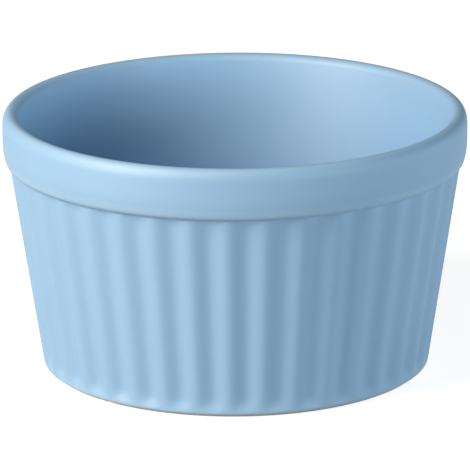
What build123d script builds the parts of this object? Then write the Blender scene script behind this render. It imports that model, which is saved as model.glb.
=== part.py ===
from build123d import *
import math
import os

os.makedirs("parts", exist_ok=True)

# A round fluted ramekin. Sizes are in millimetres, Z is up, the cup's axis is the
# Z axis and the bare foot ring stands on Z = 0. Outside sizes are over the glaze.

# Overall form
rim_diameter = 90.0
height = 50.7
base_diameter = 75.1

# Rim band: a plain collar with a rounded lip, which falls away further on the outside.
# Its lower edge is rounded too, and a hollow crease leads from the wall to it. The
# angles are slopes from upright.
band_height = 9.9
band_overhang = 1.23
band_step = 0.05
crease_fillet_radius = 0.6
crease_angle = 60.0
band_edge_radius = 1.2
band_tuck_angle = 14.0
rim_thickness = 3.2
lip_outer_width = 1.6
lip_outer_drop = 2.5

# Fluted wall below the band, its thickness taken at the foot
flute_count = 38
flute_depth = 0.8
wall_thickness = 3.25

# Floor and the rounded corner between it and the inside wall
floor_thickness = 4.0
inner_corner_radius = 9.0

# Base edge, which is plain for a short height, and then runs out into the flutes
base_edge_radius = 1.3
base_edge_height = 1.5
base_edge_proud = 0.08
base_runout_height = 1.6

# Foot ring and the recess inside it
foot_ring_width = 4.2
foot_edge_radius = 0.6
recess_depth = 1.6
recess_corner_radius = 0.8

# Glaze
glaze_thickness = 0.35
glaze_line_height = 0.7

# Depth to which the fluted sleeve is rooted in the wall behind its valleys
sleeve_root = 0.5
core_root = 0.2

# Lines and heights that follow from the sizes above
rim_radius = rim_diameter / 2
base_radius = base_diameter / 2
crease_height = height - band_height
crease_radius = rim_radius - band_overhang
wall_slope = (crease_radius - base_radius) / crease_height
wall_lean = math.degrees(math.atan(wall_slope))
wall_cosine = math.cos(math.radians(wall_lean))
floor_height = recess_depth + floor_thickness
lip_inner_radius = rim_thickness - lip_outer_width
lip_centre = (rim_radius - lip_outer_width, height - lip_inner_radius)


def crest_radius(z, inset):
    """Radius of the rib crests at a height, for a skin set in by inset."""
    return base_radius + wall_slope * z - inset / wall_cosine


def inside_flare():
    """Angle from upright of the inside wall, from the wall's foot to the lip's arc."""
    across = lip_centre[0] - (base_radius - wall_thickness)
    rise = lip_centre[1]
    return math.acos(lip_inner_radius / math.hypot(across, rise)) - math.atan2(rise, across)


def arc_point(centre, radius, angle):
    """Point on a circle in the profile plane, angle in degrees from outward."""
    turn = math.radians(angle)
    return centre[0] + radius * math.cos(turn), centre[1] + radius * math.sin(turn)


def arc(centre, radius, start, end):
    """Profile arc through its middle point, angles in degrees."""
    points = [arc_point(centre, radius, a) for a in (start, (start + end) / 2, end)]
    return ThreePointArc(*points)


def revolved(edges):
    """Solid of revolution about Z from a closed profile in the XZ plane."""
    return revolve(Plane.XZ * make_face(edges), axis=Axis.Z)


def joined(parts):
    """Profile edges, with straight runs between the ends of given edges or points."""
    edges = []
    last = first = None
    for part in parts:
        start = part if isinstance(part, tuple) else tuple(part @ 0)[:2]
        end = part if isinstance(part, tuple) else tuple(part @ 1)[:2]
        if last is not None and math.dist(last, start) > 0:
            edges.append(Line(last, start))
        if not isinstance(part, tuple):
            edges.append(part)
        first = first or start
        last = end
    edges.append(Line(last, first))
    return edges


def inside_edges(inset):
    """Inner arc of the lip and corner arc above the floor, with the wall between them."""
    flare = inside_flare()
    lip = arc(lip_centre, lip_inner_radius - inset, 90, 180 - math.degrees(flare))
    corner_z = floor_height + inner_corner_radius
    lip_to_wall = lip_inner_radius + inner_corner_radius
    drop = lip_centre[1] - corner_z
    corner_r = lip_centre[0] - drop * math.tan(flare) - lip_to_wall / math.cos(flare)
    corner = arc((corner_r, corner_z), inner_corner_radius + inset, -math.degrees(flare), -90)
    return lip, corner


def lip_outer_edge(inset):
    """Outer quarter of the lip, an ellipse higher than it is wide."""
    centre = (lip_centre[0], height - lip_outer_drop)
    return EllipticalCenterArc(centre, lip_outer_width - inset, lip_outer_drop - inset)


def crease_edges(inset):
    """Hollow crease, then the band's rounded lower edge and its face, from the wall up.

    The hollow starts at the flutes' upper ends, where the glaze keeps its thickness.
    """
    lean, steep = math.radians(wall_lean), math.radians(crease_angle)
    wall_top = crease_height - crease_fillet_radius * (math.sin(steep) - math.sin(lean))
    hollow_start = (crest_radius(wall_top, 0) + band_step, wall_top)
    hollow_centre = arc_point(hollow_start, crease_fillet_radius, -wall_lean)
    meeting = arc_point(hollow_centre, crease_fillet_radius, 180 - crease_angle)
    edge_centre = arc_point(meeting, -band_edge_radius, -crease_angle)
    face_start = arc_point(edge_centre, band_edge_radius, -band_tuck_angle)
    tuck = rim_radius - face_start[0]
    face_radius = tuck / (1 - math.cos(math.radians(band_tuck_angle)))
    face_centre = arc_point(face_start, -face_radius, -band_tuck_angle)
    skin_radius = crease_fillet_radius + inset
    skin_start = math.degrees(math.asin((crease_fillet_radius * math.sin(lean) + inset) / skin_radius))
    return (
        arc(hollow_centre, skin_radius, 180 - skin_start, 180 - crease_angle),
        arc(edge_centre, band_edge_radius - inset, -crease_angle, -band_tuck_angle),
        arc(face_centre, face_radius - inset, -band_tuck_angle, 0),
    )


def lathe_body(inset):
    """Everything that is round: base edge, wall core, rim band, lip and floor."""
    lip_inner, corner = inside_edges(inset)
    edge_angle = -wall_lean
    edge_z = base_edge_radius
    edge_r = crest_radius(edge_z, inset) + base_edge_proud - base_edge_radius / wall_cosine
    edge = arc((edge_r, edge_z), base_edge_radius, -90, edge_angle)
    shoulder = (crest_radius(base_edge_height, inset) + base_edge_proud, base_edge_height)
    core_depth = flute_depth + core_root
    core_low_z = base_edge_height + base_runout_height
    core_low = (crest_radius(core_low_z, inset) - core_depth, core_low_z)
    hollow, band_edge, face = crease_edges(inset)
    wall_top = (hollow @ 0).Y
    core_high = (crest_radius(wall_top, inset) - core_depth, wall_top)
    lip_outer = lip_outer_edge(inset)
    floor_z = floor_height - inset
    return revolved(
        joined(
            [
                (0, 0),
                edge,
                shoulder,
                core_low,
                core_high,
                hollow,
                band_edge,
                face,
                lip_outer,
                lip_inner,
                corner,
                (0, floor_z),
            ]
        )
    )


def fluted_section(z, inset):
    """Closed ring of crest and valley arcs at a height, each tangent to the next."""
    crest = crest_radius(z, inset)
    valley = crest - flute_depth
    middle = (crest + valley) / 2
    pitch = 2 * math.pi / flute_count
    edges = []
    for i in range(flute_count):
        for radius, offset in ((crest, 0), (valley, 0.5)):
            centre = (i + offset) * pitch
            start = (middle * math.cos(centre - pitch / 4), middle * math.sin(centre - pitch / 4))
            top = (radius * math.cos(centre), radius * math.sin(centre))
            end = (middle * math.cos(centre + pitch / 4), middle * math.sin(centre + pitch / 4))
            edges.append(ThreePointArc(start, top, end))
    return Plane.XY.offset(z) * make_face(edges)


def fluted_sleeve(inset):
    """The ribs and flutes, rooted in the wall core behind them."""
    low = base_edge_height - base_edge_radius / 2
    high = crease_height + glaze_thickness
    solid = loft([fluted_section(low, inset), fluted_section(high, inset)], ruled=True)
    root = flute_depth + sleeve_root
    overrun = sleeve_root
    hollow = revolved(
        joined(
            [
                (0, low - overrun),
                (crest_radius(low - overrun, inset) - root, low - overrun),
                (crest_radius(high + overrun, inset) - root, high + overrun),
                (0, high + overrun),
            ]
        )
    )
    return solid - hollow


def cup(inset):
    """The whole cup without its foot recess, with every skin set in by inset."""
    return lathe_body(inset) + fluted_sleeve(inset)


def foot_recess():
    """Shallow round recess under the base, with the foot ring's rounded inner edge."""
    ring_radius = crest_radius(0, glaze_thickness) - base_edge_radius - foot_ring_width
    recess_radius = ring_radius - foot_edge_radius
    corner_r = recess_radius - recess_corner_radius
    corner_z = recess_depth - recess_corner_radius
    edge = arc((ring_radius, foot_edge_radius), foot_edge_radius, 270, 180)
    corner = arc((corner_r, corner_z), recess_corner_radius, 0, 90)
    low = -recess_depth
    return revolved(joined([(0, low), (ring_radius, low), edge, corner, (0, recess_depth)]))


def slab(low, high):
    """Round slab wider than the cup, between two heights."""
    return Pos(0, 0, low) * Cylinder(
        rim_diameter, high - low, align=(Align.CENTER, Align.CENTER, Align.MIN)
    )


def make_clay_body(clay_cup):
    """The fired clay: wall, band, floor and bare foot ring."""
    return clay_cup - foot_recess()


def make_glaze_coat(clay_cup):
    """The glaze over the inside, the lip and the outside, ending above the foot."""
    return cup(0) - clay_cup - slab(-glaze_line_height, glaze_line_height)


def make_base_glaze():
    """The glaze patch on the ceiling of the foot recess."""
    return foot_recess() & slab(recess_depth - glaze_thickness, recess_depth + glaze_thickness)


clay_cup = cup(glaze_thickness)
parts = {
    "clay_body": make_clay_body(clay_cup),
    "glaze_coat": make_glaze_coat(clay_cup),
    "base_glaze": make_base_glaze(),
}

for name, shape in parts.items():
    export_step(shape, f"parts/{name}.step")
    print(name, len(shape.solids()), "solid", round(shape.volume, 1), "mm3")
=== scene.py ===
import math

import bpy
from bpy.props import FloatProperty, FloatVectorProperty, IntProperty, PointerProperty
from mathutils import Matrix, Vector


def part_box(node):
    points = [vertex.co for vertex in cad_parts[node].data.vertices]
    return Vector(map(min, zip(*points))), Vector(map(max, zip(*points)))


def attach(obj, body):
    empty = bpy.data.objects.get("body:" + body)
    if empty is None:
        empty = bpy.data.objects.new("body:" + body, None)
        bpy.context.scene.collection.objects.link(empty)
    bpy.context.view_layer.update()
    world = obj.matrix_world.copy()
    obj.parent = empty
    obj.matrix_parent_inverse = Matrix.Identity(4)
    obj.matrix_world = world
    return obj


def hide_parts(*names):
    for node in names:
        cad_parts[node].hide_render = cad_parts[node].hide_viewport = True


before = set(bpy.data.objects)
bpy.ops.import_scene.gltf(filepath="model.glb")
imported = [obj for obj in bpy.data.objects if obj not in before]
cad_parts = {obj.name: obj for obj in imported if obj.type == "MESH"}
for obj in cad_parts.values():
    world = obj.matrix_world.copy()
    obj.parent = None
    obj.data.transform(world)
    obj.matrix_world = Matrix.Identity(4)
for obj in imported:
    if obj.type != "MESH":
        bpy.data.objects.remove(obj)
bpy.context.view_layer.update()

bl_info = {
    "name": "Fluted Ramekin",
    "version": (1, 0, 0),
    "blender": (4, 5, 0),
    "location": "3D View > Sidebar > Ramekin",
    "description": "Glaze coat, clay and studio for a fluted ramekin built on its packed frame",
    "category": "Object",
}

COAT_LOW, COAT_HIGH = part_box("glaze_coat")
BODY = "root"
MM = 0.001
THIN_GLAZE_AND_HIGHLIGHT = "thin_glaze_and_highlight"

# Steps of the glazed profile, from the glaze line over the lip to the floor's centre
COLUMNS_PER_RIB = 12
BASE_STEPS = 6
WALL_STEPS = 26
CREASE_STEPS = 6
BAND_EDGE_STEPS = 4
BAND_CURVE_STEPS = 7
BAND_STEPS = 4
LIP_STEPS = 10
LIP_INNER_STEPS = 8
INSIDE_STEPS = 10
CORNER_STEPS = 9
FLOOR_STEPS = 6
MERGE_DISTANCE = 1e-6
SMOOTH_ANGLE = math.radians(50)

# Rounded end of the glaze on the clay, as shares of its thickness
GLAZE_END_OUT = 0.75
GLAZE_END_UP = 0.12

# Where the glaze runs thin, and where its paler colour is also a painted highlight on the lip, the
# rib crests and the band's edge
CREST_THINNING_AND_HIGHLIGHT = 0.15
CREST_FADE = 2 * MM
EDGE_CORE = 0.2 * MM
EDGE_REACH = 1.2 * MM

# Glaze pattern: scales per metre, and how far each part shows
GLAZE_CLOUDS = {"Scale": 55.0, "Strength": 0.5}
GLAZE_FLOW = {"Scale": 330.0, "Strength": 0.3}
GLAZE_GRAIN = {"Scale": 2600.0, "Strength": 1.0}
PINHOLES = {"Scale": 170.0, "Size": 0.04, "Share": 0.06}
GRAIN_TINT = 0.15
# Share of the paler thin-glaze colour, which also paints highlights on the lip, the crests and the
# band's edge
THIN_AND_HIGHLIGHT_TINT = 0.8
# Pinholes darker by this share: painted shade in the pits
PINHOLE_PAINTED_SHADE = 0.7
PINHOLE_MATTNESS = 0.4
UNEVEN_GLOSS = 0.08
FLOW_RELIEF = 0.5
GRAIN_RELIEF = 0.05
PINHOLE_RELIEF = 0.3
GLAZE_BUMP = {"Strength": 0.5, "Distance": 0.03 * MM}

# Clay pattern, in the same way
CLAY_CLOUDS = {"Scale": 90.0, "Strength": 1.2}
CLAY_SAND = {"Scale": 1500.0, "Strength": 1.0}
CLAY_SPECKS = {"Scale": 700.0, "Size": 0.3, "Share": 0.06}
TOAST_LOW = 0.25 * MM
TOAST_HIGH = 0.75 * MM
TOAST_SHARE = 0.5
CLAY_ROUGHNESS = 0.86
SAND_ROUGHNESS = 0.15
SPECK_RELIEF = 0.5
CLAY_BUMP = {"Strength": 0.8, "Distance": 0.08 * MM}

# Octaves of the mottle, and how strong each is beside the one before
MOTTLE_DETAIL = 2.0
MOTTLE_ROUGHNESS = 0.5

# Spot edges, as shares of the spot's size
SPOT_LEAST = 0.35
SPOT_CORE = 0.6

# Floor
FLOOR_SIZE = 8
PAPER_GREY = 0.34
PAPER_GLOW = 0.88
PAPER_ROUGHNESS = 0.9


def length(name, description, millimetres):
    """A length among the settings, its default given in millimetres."""
    return FloatProperty(
        name=name, description=description, default=millimetres * MM, unit="LENGTH", precision=5
    )


def angle(name, description, degrees):
    """An angle among the settings, its default given in degrees."""
    return FloatProperty(
        name=name, description=description, default=math.radians(degrees), subtype="ANGLE"
    )


def share(name, description, value):
    """A share from 0 to 1 among the settings."""
    return FloatProperty(
        name=name, description=description, default=value, min=0, max=1, subtype="FACTOR"
    )


def colour(name, description, value):
    """A colour among the settings."""
    return FloatVectorProperty(
        name=name, description=description, default=value, subtype="COLOR", size=3, min=0, max=1
    )


class RamekinForm(bpy.types.PropertyGroup):
    """Sizes of the glazed surface"""

    rib_count: IntProperty(name="Ribs", description="Ribs round the wall", default=38, min=3)
    flute_depth: length("Flute depth", "From rib crest to valley", 0.8)
    base_radius: length("Base radius", "Rib crests carried down to the table", 37.55)
    crease_height: length("Crease height", "Deepest line between the wall and the rim band", 40.8)
    wall_radius: length("Wall radius", "Rib crests carried up to the crease", 43.77)
    crease_fillet: length("Crease fillet", "Hollow rounding where wall and band meet", 0.6)
    band_edge: length("Band edge", "Rounding of the band's lower edge", 1.2)
    band_edge_slope: angle("Band edge slope", "Steepest slope under the band, from upright", 60)
    band_tuck: angle("Band tuck", "Slope at which the band's face starts above its edge", 14)
    lip_outer: length("Lip, outer width", "Width of the lip's outer rounding", 1.6)
    lip_drop: length("Lip, outer drop", "Height of the lip's outer rounding", 2.5)
    lip_inner: length("Lip, inner radius", "Rounding of the lip's inner side", 1.6)
    wall: length("Wall", "Thickness of the wall at its foot", 3.25)
    floor_height: length("Inside floor", "Height of the glazed floor over the table", 5.6)
    corner: length("Inside corner", "Radius between the floor and the inside wall", 9)
    base_edge: length("Base edge", "Radius of the outside edge at the base", 1.3)
    plain_foot: length("Plain foot", "Height below which the wall has no flutes", 0.9)
    runout: length("Flute runout", "Height at which the flutes reach their full depth", 3.2)
    top_fade: length("Flute top fade", "Run under the crease in which the flutes die out", 0.5)
    coat: length("Glaze thickness", "Thickness of the glaze coat", 0.35)


class RamekinFinish(bpy.types.PropertyGroup):
    """Colours and gloss of the glaze and the bare clay"""

    glaze: colour("Glaze", "Light blue satin glaze at its full thickness", (0.27, 0.475, 0.70))
    # Paler colour of thin glaze, used also as a painted highlight on the lip, the rib crests and
    # the band's edge
    thin_glaze_and_highlight: colour("Thin glaze", "Glaze that runs thin over an edge", (0.32, 0.52, 0.73))
    glaze_roughness: share("Glaze roughness", "Satin, between gloss and matt", 0.56)
    glaze_ior: FloatProperty(
        name="Glaze IOR", description="Refraction of the dense glaze", default=1.82, min=1
    )
    clay: colour("Clay", "Bare fired stoneware of the foot", (0.68, 0.63, 0.56))
    toasted_clay: colour("Toasted clay", "Clay beside the glaze and in patches", (0.60, 0.54, 0.46))
    speck: colour("Speck", "Iron specks in the clay", (0.13, 0.08, 0.05))


class RamekinStudio(bpy.types.PropertyGroup):
    """Camera and lamps"""

    camera_distance: length("Camera distance", "From the cup's axis at half height", 1000)
    camera_elevation: angle("Camera elevation", "Angle of the camera above level", 16.388)
    camera_turn: angle("Camera turn", "Camera's place round the cup, from the front", -2.83)
    camera_roll: angle("Camera roll", "Turn of the picture about the line of sight", -0.3177)
    camera_rest: length("Middle height", "Height of the point the camera is set out from", 25)
    aim_height: length("Aim height", "Height of the point in the picture's middle", 25.154)
    aim_side: length("Aim side", "Distance of that point to the right of the axis", -0.0913)
    lens: FloatProperty(
        name="Lens", description="Focal length for the sensor", default=393.05, unit="CAMERA"
    )
    sensor: FloatProperty(
        name="Sensor", description="Width of the camera's sensor", default=36, unit="CAMERA"
    )
    near_clip: length("Near clip", "Nearest distance that the camera shows", 50)
    lamp_distance: length("Lamp distance", "From the cup's middle to each lamp", 700)
    key_elevation: angle("Key elevation", "Angle of the key lamp above level", 30)
    key_width: length("Key width", "Width of the key lamp's face", 320)
    key_height: length("Key height", "Height of the key lamp's face", 620)
    side_elevation: angle("Side elevation", "Angle of the right softbox above level", 8)
    side_width: length("Side width", "Width of the right softbox", 300)
    fill_elevation: angle("Fill elevation", "Angle of the white panel above level", 7)
    fill_width: length("Fill width", "Width of the white panel", 800)
    low_height: length("Low height", "Height of the right softbox and the panel", 120)
    key_turn: angle("Key turn", "Key lamp's place, to the right of the camera", -57)
    key_brightness: FloatProperty(
        name="Key brightness", description="Radiance of the key lamp's face", default=11.3, min=0
    )
    side_turn: angle("Side turn", "Right softbox's place, to the right of the camera", 47)
    side_brightness: FloatProperty(
        name="Side brightness", description="Radiance of the right softbox", default=10.3, min=0
    )
    fill_turn: angle("Fill turn", "White panel's place, to the right of the camera", 92)
    fill_brightness: FloatProperty(
        name="Fill brightness", description="Radiance of the white panel", default=4.3, min=0
    )
    key_tint: colour("Key tint", "Slightly warm white of the key lamp", (1.0, 0.92, 0.83))
    fill_tint: colour("Fill tint", "Slightly cool white of the other lamps", (0.78, 0.94, 1.0))
    room_brightness: FloatProperty(
        name="Room brightness", description="Soft light from all round", default=0.11, min=0
    )


def settings():
    """The scene's three groups of values."""
    scene = bpy.context.scene
    return scene.ramekin_form, scene.ramekin_finish, scene.ramekin_studio


def start_fresh():
    """Object mode, with nothing selected."""
    if bpy.context.object and bpy.context.object.mode != "OBJECT":
        bpy.ops.object.mode_set(mode="OBJECT")
    bpy.ops.object.select_all(action="DESELECT")


def arc_points(centre, radius, start, end, steps):
    """Points on a profile arc, angles in radians from outward, both ends included."""
    turns = [start + (end - start) * i / steps for i in range(steps + 1)]
    return [(centre[0] + radius * math.cos(t), centre[1] + radius * math.sin(t)) for t in turns]


def placed(points, start):
    """The same points, moved so that the first lies at the start."""
    shift = (start[0] - points[0][0], start[1] - points[0][1])
    return [(r + shift[0], z + shift[1]) for r, z in points]


def between(start, end, shares):
    """Points at given shares of the way from one profile point to another."""
    across, up = end[0] - start[0], end[1] - start[1]
    return [(start[0] + across * part, start[1] + up * part) for part in shares]


def run_points(start, end, steps):
    """Points between two profile points, both left out."""
    return between(start, end, [i / steps for i in range(1, steps)])


def eased_points(start, end, steps):
    """Points between two profile points, closer together near both ends."""
    return between(start, end, [(1 - math.cos(math.pi * i / steps)) / 2 for i in range(1, steps)])


def wall_lean(form):
    """Angle of the outside wall from upright."""
    return math.atan((form.wall_radius - form.base_radius) / form.crease_height)


def crest_radius(form, z):
    """Radius of the rib crests at a height."""
    return form.base_radius + z * math.tan(wall_lean(form))


def base_profile(form):
    """Rounded end of the glaze on the clay, and the base's outside edge."""
    lean = wall_lean(form)
    edge_z = form.base_edge
    edge_r = crest_radius(form, edge_z) - form.base_edge / math.cos(lean)
    clay_edge = form.base_edge - form.coat
    line = -math.asin((edge_z - COAT_LOW.z) / clay_edge)
    start = (edge_r + clay_edge * math.cos(line), COAT_LOW.z)
    bead = line + form.coat / form.base_edge
    edge = arc_points((edge_r, edge_z), form.base_edge, bead, -lean, BASE_STEPS)
    middle = (start[0] + form.coat * GLAZE_END_OUT, start[1] + form.coat * GLAZE_END_UP)
    return [start, middle] + edge


def band_profile(form):
    """Hollow crease over the wall, the band's rounded lower edge and its upright face."""
    lean, slope, tuck = wall_lean(form), form.band_edge_slope, form.band_tuck
    hollow = arc_points((0, 0), form.crease_fillet, math.pi - lean, math.pi - slope, CREASE_STEPS)
    edge = arc_points((0, 0), form.band_edge, -slope, -tuck, BAND_EDGE_STEPS)
    start_z = form.crease_height - (hollow[-1][1] - hollow[0][1])
    points = placed(hollow, (crest_radius(form, start_z), start_z))
    points += placed(edge, points[-1])[1:]
    face_radius = (COAT_HIGH.x - points[-1][0]) / (1 - math.cos(tuck))
    face_z = points[-1][1] + face_radius * math.sin(tuck)
    face_centre = (COAT_HIGH.x - face_radius, face_z)
    return points + arc_points(face_centre, face_radius, -tuck, 0, BAND_CURVE_STEPS)[1:]


def inside_profile(form):
    """Lip, inside wall, rounded corner and floor, from the lip's top to the cup's axis."""
    lip_r = COAT_HIGH.x - form.lip_outer
    lip_z = COAT_HIGH.z - form.lip_inner
    across = lip_r - (form.base_radius - form.wall)
    flare = math.acos(form.lip_inner / math.hypot(across, lip_z)) - math.atan2(lip_z, across)
    lip_end = math.pi - flare
    lip = arc_points((lip_r, lip_z), form.lip_inner, math.pi / 2, lip_end, LIP_INNER_STEPS)
    corner_z = form.floor_height + form.corner
    reach = (form.lip_inner + form.corner) / math.cos(flare)
    corner_r = lip_r - (lip_z - corner_z) * math.tan(flare) - reach
    corner = arc_points((corner_r, corner_z), form.corner, -flare, -math.pi / 2, CORNER_STEPS)
    middle = (0, form.floor_height)
    wall = run_points(lip[-1], corner[0], INSIDE_STEPS)
    floor = run_points(corner[-1], middle, FLOOR_STEPS)
    return lip + wall + corner + floor + [middle]


def lip_points(form):
    """Outer quarter of the lip, an ellipse higher than it is wide."""
    lip_r, lip_z = COAT_HIGH.x - form.lip_outer, COAT_HIGH.z - form.lip_drop
    turns = [math.pi / 2 * i / LIP_STEPS for i in range(LIP_STEPS + 1)]
    return [
        (lip_r + form.lip_outer * math.cos(t), lip_z + form.lip_drop * math.sin(t)) for t in turns
    ]


def coat_profile(form):
    """Profile of the glazed surface, from the glaze line over the lip to the floor's centre."""
    base, band, inside = base_profile(form), band_profile(form), inside_profile(form)
    lip = lip_points(form)
    wall = eased_points(base[-1], band[0], WALL_STEPS)
    return base + wall + band + run_points(band[-1], lip[0], BAND_STEPS) + lip + inside[1:]


def spin_profile(name, points, columns):
    """Draws a profile by extruding one vertex along it, and spins it round the cup's axis."""
    start_fresh()
    bpy.ops.mesh.primitive_plane_add(size=points[0][0], location=(0, 0, 0))
    piece = bpy.context.object
    piece.name = piece.data.name = name
    bpy.ops.object.mode_set(mode="EDIT")
    bpy.ops.mesh.merge(type="CENTER")
    bpy.ops.transform.translate(value=(points[0][0], 0, points[0][1]))
    for (r0, z0), (r1, z1) in zip(points, points[1:]):
        bpy.ops.mesh.extrude_region_move(TRANSFORM_OT_translate={"value": (r1 - r0, 0, z1 - z0)})
    bpy.ops.mesh.select_all(action="SELECT")
    bpy.ops.mesh.spin(
        steps=columns, angle=2 * math.pi, center=(0, 0, 0), axis=(0, 0, 1), use_auto_merge=True
    )
    bpy.ops.mesh.select_all(action="SELECT")
    bpy.ops.mesh.remove_doubles(threshold=MERGE_DISTANCE)
    bpy.ops.object.mode_set(mode="OBJECT")
    return piece


def face_outwards(piece):
    """Recalculates an open skin's normals so that the glazed side is the front."""
    bpy.ops.object.mode_set(mode="EDIT")
    bpy.ops.mesh.select_all(action="SELECT")
    bpy.ops.mesh.normals_make_consistent(inside=False)
    bpy.ops.object.mode_set(mode="OBJECT")
    highest = max(piece.data.polygons, key=lambda face: face.center.z)
    if highest.normal.z < 0:
        bpy.ops.object.mode_set(mode="EDIT")
        bpy.ops.mesh.flip_normals()
        bpy.ops.object.mode_set(mode="OBJECT")


def smooth_share(value, low, high):
    """0 below low, 1 above high, with a soft run between."""
    part = min(max((value - low) / (high - low), 0), 1)
    return part * part * (3 - 2 * part)


def valley_share(form, vertex):
    """How far a point of the glazed surface lies down a flute, from 0 to 1."""
    x, y, z = vertex.co
    outside = math.hypot(x, y) > crest_radius(form, z) - form.wall / 2
    if not outside or not form.plain_foot < z < form.crease_height:
        return 0
    low_fade = smooth_share(z, form.plain_foot, form.runout)
    high_fade = smooth_share(form.crease_height - z, 0, form.top_fade)
    valley = (1 - math.cos(form.rib_count * math.atan2(y, x))) / 2
    return valley * low_fade * high_fade


def press_flutes(piece, form):
    """Presses the flutes between the ribs into the outside wall."""
    group = piece.vertex_groups.new(name="flutes")
    for vertex in piece.data.vertices:
        depth = valley_share(form, vertex)
        if depth > 0:
            group.add([vertex.index], depth, "REPLACE")
    apply_modifier(
        piece,
        "DISPLACE",
        "Flutes",
        strength=-form.flute_depth,
        mid_level=0,
        vertex_group=group.name,
    )


def apply_modifier(piece, kind, name, **values):
    """Adds one modifier with its values and applies it."""
    start_fresh()
    piece.select_set(True)
    bpy.context.view_layer.objects.active = piece
    modifier = piece.modifiers.new(name, kind)
    for key, value in values.items():
        setattr(modifier, key, value)
    bpy.ops.object.modifier_apply(modifier=modifier.name)


def mark_thin_glaze_and_highlight(piece, form):
    """Marks where the glaze runs thin: rib crests, lip, the band's edge and the base edge; on the
    lip, the crests and the band's edge the mark is also a painted highlight.
    """
    marks = piece.data.attributes.new(THIN_GLAZE_AND_HIGHLIGHT, "FLOAT", "POINT")
    band_edge_z = form.crease_height + form.band_edge
    for vertex in piece.data.vertices:
        x, y, z = vertex.co
        outside = math.hypot(x, y) > crest_radius(form, z) - form.wall / 2
        # Lip's top rounding paler, inside and out: thin glaze, and a painted highlight where the
        # lip faces up
        thin = smooth_share(z, COAT_HIGH.z - form.lip_drop, COAT_HIGH.z)
        if outside and z < form.crease_height:
            # Rib crests a little paler: thin glaze, and in part a painted highlight that deepens
            # the flute shading
            crest = (1 + math.cos(form.rib_count * math.atan2(y, x))) / 2
            thin = CREST_THINNING_AND_HIGHLIGHT * crest * smooth_share(form.crease_height - z, 0, CREST_FADE)
            thin = max(thin, 1 - smooth_share(z, form.base_edge, form.runout))
        elif outside:
            # Band's lower edge paler: thin glaze, and a painted highlight where the edge catches
            # the light
            edge = 1 - smooth_share(abs(z - band_edge_z), EDGE_CORE, EDGE_REACH)
            thin = max(thin, edge)
        marks.data[vertex.index].value = thin


class RAMEKIN_OT_glaze_coat(bpy.types.Operator):
    """Spins the glazed profile, presses the flutes in and gives the coat its thickness"""

    bl_idname = "ramekin.glaze_coat"
    bl_label = "Glaze coat"

    def execute(self, context):
        form, finish, _ = settings()
        columns = form.rib_count * COLUMNS_PER_RIB
        coat = spin_profile("blue_glaze_coat", coat_profile(form), columns)
        face_outwards(coat)
        mark_thin_glaze_and_highlight(coat, form)
        press_flutes(coat, form)
        apply_modifier(
            coat,
            "SOLIDIFY",
            "Coat",
            thickness=form.coat,
            offset=-1,
            use_even_offset=True,
        )
        bpy.ops.object.shade_smooth_by_angle(angle=SMOOTH_ANGLE)
        coat.vertex_groups.clear()
        coat.data.materials.clear()
        coat.data.materials.append(blue_glaze(finish))
        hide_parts("glaze_coat")
        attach(coat, BODY)
        return {"FINISHED"}


class RAMEKIN_OT_base_glaze(bpy.types.Operator):
    """Glazes the patch inside the foot ring"""

    bl_idname = "ramekin.base_glaze"
    bl_label = "Base glaze"

    def execute(self, context):
        _, finish, _ = settings()
        dress(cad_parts["base_glaze"], blue_glaze(finish))
        return {"FINISHED"}


class RAMEKIN_OT_clay_body(bpy.types.Operator):
    """Gives the bare foot ring its fired clay"""

    bl_idname = "ramekin.clay_body"
    bl_label = "Clay body"

    def execute(self, context):
        _, finish, _ = settings()
        dress(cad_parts["clay_body"], bare_clay(finish))
        return {"FINISHED"}


def dress(node, material):
    """Gives every material slot of a carried-over piece one material."""
    if not node.material_slots:
        node.data.materials.append(material)
    for slot in node.material_slots:
        slot.material = material


class NodeTree:
    """A node tree with short ways to add, set and join its nodes."""

    def __init__(self, tree):
        self.tree = tree
        self.column = 0

    def add(self, kind, **inputs):
        """Adds a node and sets or links its inputs, spaces in their names as underscores."""
        node = self.tree.nodes.new(kind)
        node.location = (self.column, 0)
        self.column += 200
        for name, value in inputs.items():
            self.feed(node.inputs[name.replace("_", " ")], value)
        return node

    def feed(self, socket, value):
        """Links an output to a socket, or sets a plain value on it."""
        if isinstance(value, bpy.types.NodeSocket):
            self.tree.links.new(value, socket)
        else:
            socket.default_value = value

    def math(self, operation, first, second=0.0, clamp=False):
        """Output of a Math node on two values."""
        node = self.add("ShaderNodeMath")
        node.operation = operation
        node.use_clamp = clamp
        self.feed(node.inputs[0], first)
        self.feed(node.inputs[1], second)
        return node.outputs[0]

    def blend(self, factor, first, second):
        """Output of a colour Mix node."""
        node = self.add("ShaderNodeMix")
        node.data_type = "RGBA"
        self.feed(node.inputs[0], factor)
        self.feed(node.inputs[6], first)
        self.feed(node.inputs[7], second)
        return node.outputs[2]

    def ramp(self, value, low, high, start=0.0, end=1.0):
        """Output of a smooth Map Range node."""
        node = self.add("ShaderNodeMapRange", Value=value, From_Min=low, From_Max=high)
        node.interpolation_type = "SMOOTHSTEP"
        self.feed(node.inputs["To Min"], start)
        self.feed(node.inputs["To Max"], end)
        return node.outputs[0]

    def group(self, name, **inputs):
        """Adds a node group with its own values."""
        node = self.add("ShaderNodeGroup")
        node.node_tree = bpy.data.node_groups[name]
        for key, value in inputs.items():
            self.feed(node.inputs[key.replace("_", " ")], value)
        return node


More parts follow.
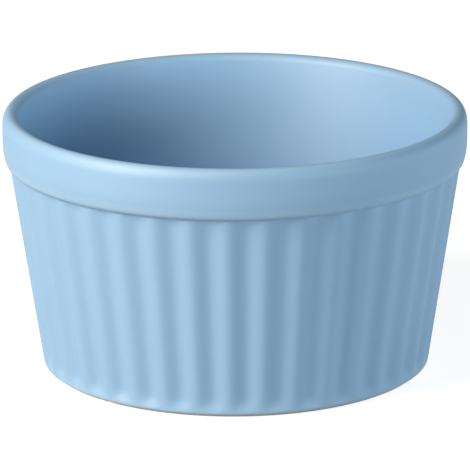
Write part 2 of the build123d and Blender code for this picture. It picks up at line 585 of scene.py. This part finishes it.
def new_group(name, inputs, outputs):
    """A shader node group with named sockets, and its tree with input and output nodes."""
    group = bpy.data.node_groups.new(name, "ShaderNodeTree")
    for socket, default in inputs.items():
        kind = "NodeSocketVector" if default is None else "NodeSocketFloat"
        item = group.interface.new_socket(socket, in_out="INPUT", socket_type=kind)
        if default is not None:
            item.default_value = default
    for socket in outputs:
        group.interface.new_socket(socket, in_out="OUTPUT", socket_type="NodeSocketFloat")
    tree = NodeTree(group)
    return tree, tree.add("NodeGroupInput").outputs, tree.add("NodeGroupOutput").inputs


def kiln_mottle():
    """Soft cloudy unevenness left by the kiln, round 0, at a size per metre."""
    if "kiln_mottle" in bpy.data.node_groups:
        return "kiln_mottle"
    inputs = {"Vector": None, "Scale": 60.0, "Strength": 1.0}
    tree, given, result = new_group("kiln_mottle", inputs, ["Value"])
    clouds = tree.add(
        "ShaderNodeTexNoise",
        Vector=given["Vector"],
        Scale=given["Scale"],
        Detail=MOTTLE_DETAIL,
        Roughness=MOTTLE_ROUGHNESS,
    )
    centred = tree.math("SUBTRACT", clouds.outputs["Fac"], 0.5)
    tree.feed(result["Value"], tree.math("MULTIPLY", centred, given["Strength"]))
    return "kiln_mottle"


def spots():
    """Small round spots scattered over a share of the cells, as a mask from 0 to 1."""
    if "scattered_spots" in bpy.data.node_groups:
        return "scattered_spots"
    inputs = {"Vector": None, "Scale": 100.0, "Size": 0.05, "Share": 0.1}
    tree, given, result = new_group("scattered_spots", inputs, ["Mask"])
    cells = tree.add("ShaderNodeTexVoronoi", Vector=given["Vector"], Scale=given["Scale"])
    chance = tree.add("ShaderNodeSeparateColor", Color=cells.outputs["Color"])
    chosen = tree.math("LESS_THAN", chance.outputs[0], given["Share"])
    sized = tree.math("MULTIPLY", given["Size"], tree.math("ADD", chance.outputs[1], SPOT_LEAST))
    edge = tree.math("DIVIDE", cells.outputs["Distance"], sized)
    disc = tree.ramp(edge, SPOT_CORE, 1.0, 1.0, 0.0)
    tree.feed(result["Mask"], tree.math("MULTIPLY", disc, chosen))
    return "scattered_spots"


def fresh_material(name):
    """A new node material's tree, its shader and its Object coordinates."""
    material = bpy.data.materials.new(name)
    material.use_nodes = True
    tree = NodeTree(material.node_tree)
    shader = material.node_tree.nodes["Principled BSDF"]
    where = tree.add("ShaderNodeTexCoord").outputs["Object"]
    return material, tree, shader, where


def blue_glaze(finish):
    """Satin light blue glaze: paler where thin and where a highlight is painted, softly mottled,
    with a few pinholes darkened by painted shade.
    """
    if "satin_blue_glaze" in bpy.data.materials:
        return bpy.data.materials["satin_blue_glaze"]
    material, tree, shader, where = fresh_material("satin_blue_glaze")
    clouds = tree.group(kiln_mottle(), Vector=where, **GLAZE_CLOUDS).outputs[0]
    flow = tree.group(kiln_mottle(), Vector=where, **GLAZE_FLOW).outputs[0]
    grain = tree.group(kiln_mottle(), Vector=where, **GLAZE_GRAIN).outputs[0]
    holes = tree.group(spots(), Vector=where, **PINHOLES).outputs[0]
    thin = tree.add("ShaderNodeAttribute")
    thin.attribute_name = THIN_GLAZE_AND_HIGHLIGHT
    fine = tree.math("MULTIPLY", grain, GRAIN_TINT)
    uneven = tree.math("ADD", tree.math("ADD", clouds, flow), fine)
    # The thin-glaze mark lightens the colour: thin glaze, and a painted highlight on the lip, the
    # crests and the band's edge
    thin_and_highlight_share = tree.math("MULTIPLY", thin.outputs["Fac"], THIN_AND_HIGHLIGHT_TINT)
    paler = tree.math("ADD", thin_and_highlight_share, uneven, clamp=True)
    body = tree.blend(paler, (*finish.glaze, 1), (*finish.thin_glaze_and_highlight, 1))
    shader.inputs["IOR"].default_value = finish.glaze_ior
    # Pinholes darkened: painted shade in the pits
    pit_painted_shade = [PINHOLE_PAINTED_SHADE * value for value in finish.glaze]
    tree.feed(shader.inputs["Base Color"], tree.blend(holes, body, (*pit_painted_shade, 1)))
    gloss = tree.math("MULTIPLY_ADD", tree.math("ADD", clouds, grain), UNEVEN_GLOSS)
    gloss.node.inputs[2].default_value = finish.glaze_roughness
    matt_holes = tree.math("MULTIPLY", holes, PINHOLE_MATTNESS)
    tree.feed(shader.inputs["Roughness"], tree.math("ADD", gloss, matt_holes))
    waves = tree.math("MULTIPLY", flow, FLOW_RELIEF)
    height = tree.math("ADD", waves, tree.math("MULTIPLY", grain, GRAIN_RELIEF))
    height = tree.math("SUBTRACT", height, tree.math("MULTIPLY", holes, PINHOLE_RELIEF))
    bump = tree.add("ShaderNodeBump", Height=height, **GLAZE_BUMP)
    tree.feed(shader.inputs["Normal"], bump.outputs[0])
    return material


def bare_clay(finish):
    """Fired stoneware without glaze: sandy, speckled, toasted beside the glaze."""
    if "bare_fired_clay" in bpy.data.materials:
        return bpy.data.materials["bare_fired_clay"]
    material, tree, shader, where = fresh_material("bare_fired_clay")
    clouds = tree.group(kiln_mottle(), Vector=where, **CLAY_CLOUDS).outputs[0]
    sand = tree.group(kiln_mottle(), Vector=where, **CLAY_SAND).outputs[0]
    specks = tree.group(spots(), Vector=where, **CLAY_SPECKS).outputs[0]
    place = tree.add("ShaderNodeSeparateXYZ", Vector=where)
    near_glaze = tree.ramp(place.outputs["Z"], TOAST_LOW, TOAST_HIGH, 0.0, TOAST_SHARE)
    toasted = tree.math("ADD", near_glaze, tree.math("ADD", clouds, sand), clamp=True)
    body = tree.blend(toasted, (*finish.clay, 1), (*finish.toasted_clay, 1))
    tree.feed(shader.inputs["Base Color"], tree.blend(specks, body, (*finish.speck, 1)))
    sandy = tree.math("MULTIPLY", sand, SAND_ROUGHNESS)
    tree.feed(shader.inputs["Roughness"], tree.math("ADD", sandy, CLAY_ROUGHNESS))
    height = tree.math("SUBTRACT", sand, tree.math("MULTIPLY", specks, SPECK_RELIEF))
    bump = tree.add("ShaderNodeBump", Height=height, **CLAY_BUMP)
    tree.feed(shader.inputs["Normal"], bump.outputs[0])
    return material


def white_paper():
    """Floor that shows as white paper, with the object's soft shadow on it."""
    material = bpy.data.materials.new("white_paper")
    material.use_nodes = True
    tree = NodeTree(material.node_tree)
    shader = material.node_tree.nodes["Principled BSDF"]
    shader.inputs["Base Color"].default_value = (PAPER_GREY, PAPER_GREY, PAPER_GREY, 1)
    shader.inputs["Roughness"].default_value = PAPER_ROUGHNESS
    shader.inputs["Specular IOR Level"].default_value = 0
    rays = tree.add("ShaderNodeLightPath")
    seen = tree.math("MAXIMUM", rays.outputs["Is Camera Ray"], rays.outputs["Is Glossy Ray"])
    seen = tree.math("MAXIMUM", seen, rays.outputs["Is Transmission Ray"])
    glow = tree.add("ShaderNodeEmission", Strength=tree.math("MULTIPLY", seen, PAPER_GLOW))
    both = tree.add("ShaderNodeAddShader")
    tree.feed(both.inputs[0], shader.outputs[0])
    tree.feed(both.inputs[1], glow.outputs[0])
    tree.feed(material.node_tree.nodes["Material Output"].inputs["Surface"], both.outputs[0])
    return material


def around(turn, elevation, distance, height):
    """A place round the cup: angle from its front, positive to the right."""
    angle = turn - math.pi / 2
    level = distance * math.cos(elevation)
    rise = distance * math.sin(elevation)
    return Vector((level * math.cos(angle), level * math.sin(angle), height + rise))


def aimed(place, target):
    """Rotation that points an object's -Z from a place to a target, with its Y up."""
    return (target - place).to_track_quat("-Z", "Y").to_euler()


def softbox(name, place, target, size, brightness, tint):
    """Rectangular area lamp whose face has a given radiance."""
    bpy.ops.object.light_add(type="AREA", location=place, rotation=aimed(place, target))
    lamp = bpy.context.object
    lamp.name = lamp.data.name = name
    lamp.data.color = tint
    lamp.data.shape = "RECTANGLE"
    lamp.data.size, lamp.data.size_y = size
    lamp.data.energy = brightness * math.pi * size[0] * size[1]


class RAMEKIN_OT_stage(bpy.types.Operator):
    """Floor, soft lamps and the camera"""

    bl_idname = "ramekin.stage"
    bl_label = "Stage"

    def execute(self, context):
        _, _, studio = settings()
        start_fresh()
        bpy.ops.mesh.primitive_plane_add(size=FLOOR_SIZE, location=(0, 0, 0))
        floor = bpy.context.object
        floor.name = floor.data.name = "studio_floor"
        floor.data.materials.append(white_paper())
        bpy.context.scene.view_settings.view_transform = "Standard"
        self.camera(studio)
        self.lamps(studio)
        self.world(studio)
        return {"FINISHED"}

    def camera(self, studio):
        """Camera at the photograph's place, held with a slight roll."""
        turn = studio.camera_turn
        place = around(turn, studio.camera_elevation, studio.camera_distance, studio.camera_rest)
        side = Matrix.Rotation(turn, 3, "Z") @ Vector((1, 0, 0))
        target = Vector((0, 0, studio.aim_height)) + side * studio.aim_side
        roll = Matrix.Rotation(studio.camera_roll, 3, "Z")
        turned = (aimed(place, target).to_matrix() @ roll).to_euler()
        bpy.ops.object.camera_add(location=place, rotation=turned)
        camera = bpy.context.object
        camera.name = camera.data.name = "photo_camera"
        camera.data.lens = studio.lens
        camera.data.sensor_width = studio.sensor
        camera.data.clip_start = studio.near_clip
        bpy.context.scene.camera = camera

    def lamps(self, studio):
        """Soft key at the left front, a weaker lamp at the right front and a panel at the right."""
        self.lamp(
            studio, "key_softbox", studio.key_turn, studio.key_elevation,
            (studio.key_width, studio.key_height), studio.key_brightness, studio.key_tint,
        )
        self.lamp(
            studio, "side_softbox", studio.side_turn, studio.side_elevation,
            (studio.side_width, studio.low_height), studio.side_brightness, studio.fill_tint,
        )
        self.lamp(
            studio, "white_panel", studio.fill_turn, studio.fill_elevation,
            (studio.fill_width, studio.low_height), studio.fill_brightness, studio.fill_tint,
        )

    def lamp(self, studio, name, turn, elevation, size, brightness, tint):
        """One lamp, set out round the cup from the camera's side and aimed at its middle."""
        middle = Vector((0, 0, studio.camera_rest))
        place = around(studio.camera_turn + turn, elevation, studio.lamp_distance, middle.z)
        softbox(name, place, middle, size, brightness, tint)

    def world(self, studio):
        """White surroundings, seen as white and giving only a little light."""
        world = bpy.data.worlds.new("white_room")
        bpy.context.scene.world = world
        world.use_nodes = True
        tree = NodeTree(world.node_tree)
        room = world.node_tree.nodes["Background"]
        room.inputs["Color"].default_value = (*studio.fill_tint, 1)
        room.inputs["Strength"].default_value = studio.room_brightness
        seen = tree.add("ShaderNodeBackground", Color=(1, 1, 1, 1), Strength=1.0)
        rays = tree.add("ShaderNodeLightPath")
        mix = tree.add("ShaderNodeMixShader")
        tree.feed(mix.inputs[0], rays.outputs["Is Camera Ray"])
        tree.feed(mix.inputs[1], room.outputs[0])
        tree.feed(mix.inputs[2], seen.outputs[0])
        tree.feed(world.node_tree.nodes["World Output"].inputs["Surface"], mix.outputs[0])


class RAMEKIN_PT_builder(bpy.types.Panel):
    """Lists the ramekin's pieces and values"""

    bl_idname = "RAMEKIN_PT_builder"
    bl_label = "Ramekin"
    bl_space_type = "VIEW_3D"
    bl_region_type = "UI"
    bl_category = "Ramekin"

    def draw(self, context):
        for group in settings():
            box = self.layout.box()
            for key in group.bl_rna.properties.keys():
                if key not in ("rna_type", "name"):
                    box.prop(group, key)
        for operator in OPERATORS:
            self.layout.operator(operator.bl_idname)


GROUPS = (RamekinForm, RamekinFinish, RamekinStudio)
OPERATORS = (
    RAMEKIN_OT_clay_body,
    RAMEKIN_OT_glaze_coat,
    RAMEKIN_OT_base_glaze,
    RAMEKIN_OT_stage,
)


def register():
    """Registers the classes and hangs the groups of values on the scene."""
    for item in (*GROUPS, *OPERATORS, RAMEKIN_PT_builder):
        bpy.utils.register_class(item)
    bpy.types.Scene.ramekin_form = PointerProperty(type=RamekinForm)
    bpy.types.Scene.ramekin_finish = PointerProperty(type=RamekinFinish)
    bpy.types.Scene.ramekin_studio = PointerProperty(type=RamekinStudio)


def unregister():
    """Takes all of it away again."""
    del bpy.types.Scene.ramekin_studio
    del bpy.types.Scene.ramekin_finish
    del bpy.types.Scene.ramekin_form
    for item in reversed((*GROUPS, *OPERATORS, RAMEKIN_PT_builder)):
        bpy.utils.unregister_class(item)


def main():
    """Builds every piece and the stage."""
    register()
    bpy.ops.ramekin.clay_body()
    bpy.ops.ramekin.glaze_coat()
    bpy.ops.ramekin.base_glaze()
    bpy.ops.ramekin.stage()


if __name__ == "__main__":
    main()
